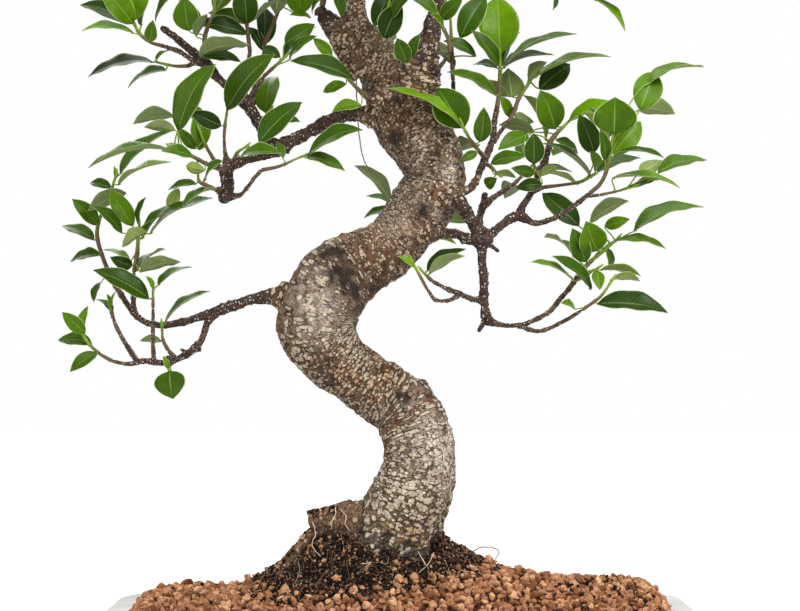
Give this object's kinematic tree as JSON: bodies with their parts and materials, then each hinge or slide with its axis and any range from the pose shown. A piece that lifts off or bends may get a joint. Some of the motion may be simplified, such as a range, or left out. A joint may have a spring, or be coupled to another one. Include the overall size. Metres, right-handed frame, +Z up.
{
  "type": "bonsai tree in pot",
  "caption": "Ficus bonsai with an S-shaped trunk and open leafy branches, planted in a long stone-like tray of granular soil.",
  "frame": {"origin": "centre of the tray's flat underside, on the surface that it stands on", "axes": "+Z up along the tree, +X along the tray's length to the viewer's right, +Y across the tray away from the viewer"},
  "size_m": [0.5505, 0.3511, 0.7847],
  "materials": {
    "bark": "matte",
    "leaf": "satin",
    "peat": "matte",
    "akadama": "matte",
    "tray_stone": "matte",
    "screen": "matte"
  },
  "bodies": {
    "root": {"akadama_bed": "akadama", "drain_screen_left": "screen", "drain_screen_right": "screen", "pot": "tray_stone", "root_ball": "peat", "spray_back_middle": "leaf", "spray_back_top": "leaf", "spray_crown_back": "leaf", "spray_crown_left": "leaf", "spray_crown_left_back": "leaf", "spray_crown_left_front": "leaf", "spray_crown_right_back": "leaf", "spray_crown_right_front": "leaf", "spray_crown_top": "leaf", "spray_crown_top_left": "leaf", "spray_crown_top_right": "leaf", "spray_far_left_low": "leaf", "spray_far_left_top": "leaf", "spray_far_right_inner": "leaf", "spray_far_right_low": "leaf", "spray_far_right_top": "leaf", "spray_inner_crown": "leaf", "spray_inner_low": "leaf", "spray_left_crown": "leaf", "spray_left_shoulder": "leaf", "spray_low_left_bud": "leaf", "spray_low_left_end": "leaf", "spray_low_left_front": "leaf", "spray_low_left_hanging": "leaf", "spray_low_left_middle": "leaf", "spray_low_left_rim": "leaf", "spray_low_left_upright": "leaf", "spray_mid_left_behind": "leaf", "spray_mid_left_bright": "leaf", "spray_mid_left_fork": "leaf", "spray_mid_left_low": "leaf", "spray_mid_left_right": "leaf", "spray_right_behind": "leaf", "spray_right_dark": "leaf", "spray_right_edge": "leaf", "spray_right_fan": "leaf", "spray_right_inner": "leaf", "spray_right_limb": "leaf", "spray_right_low_end": "leaf", "spray_right_low_front": "leaf", "spray_right_low_left": "leaf", "spray_right_low_shoot": "leaf", "spray_right_low_under": "leaf", "spray_right_middle": "leaf", "spray_right_olive": "leaf", "spray_right_top": "leaf", "spray_right_upper": "leaf", "spray_stub": "leaf", "spray_trunk_front": "leaf", "spray_trunk_left": "leaf", "spray_trunk_right": "leaf", "spray_upper_left_inner": "leaf", "spray_upper_left_side": "leaf", "trunk": "bark"}
  },
  "joints": []
}
